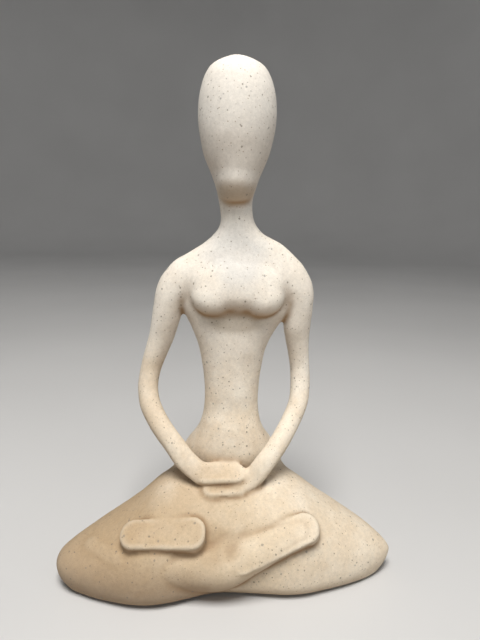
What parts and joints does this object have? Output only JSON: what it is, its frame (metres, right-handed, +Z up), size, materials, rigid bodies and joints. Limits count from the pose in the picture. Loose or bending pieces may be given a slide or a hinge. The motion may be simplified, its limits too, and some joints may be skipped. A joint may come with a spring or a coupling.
{
  "type": "seated meditation figurine",
  "caption": "Tabletop figurine of a faceless figure seated cross-legged with hands in its lap, cast in speckled stone-filled resin on felt feet.",
  "frame": {"origin": "centre of the footprint's bounding box, on the surface the felt feet stand on", "axes": "+Z up, the figure faces -Y, +X to the figure's own left"},
  "size_m": [0.1676, 0.0812, 0.247],
  "materials": {
    "stone_resin": "matte, cream with tan, grey and dark brown specks",
    "armature_steel": "drawn wire, dull",
    "plug_rubber": "matte",
    "foot_felt": "dense felt"
  },
  "bodies": {
    "root": {"figure_casting": "stone_resin", "neck_armature_rod": "armature_steel", "right_arm_wire": "armature_steel", "left_arm_wire": "armature_steel", "base_plug": "plug_rubber", "felt_pad_front_right": "foot_felt", "felt_pad_front_left": "foot_felt", "felt_pad_rear_right": "foot_felt", "felt_pad_rear_left": "foot_felt"}
  },
  "joints": []
}
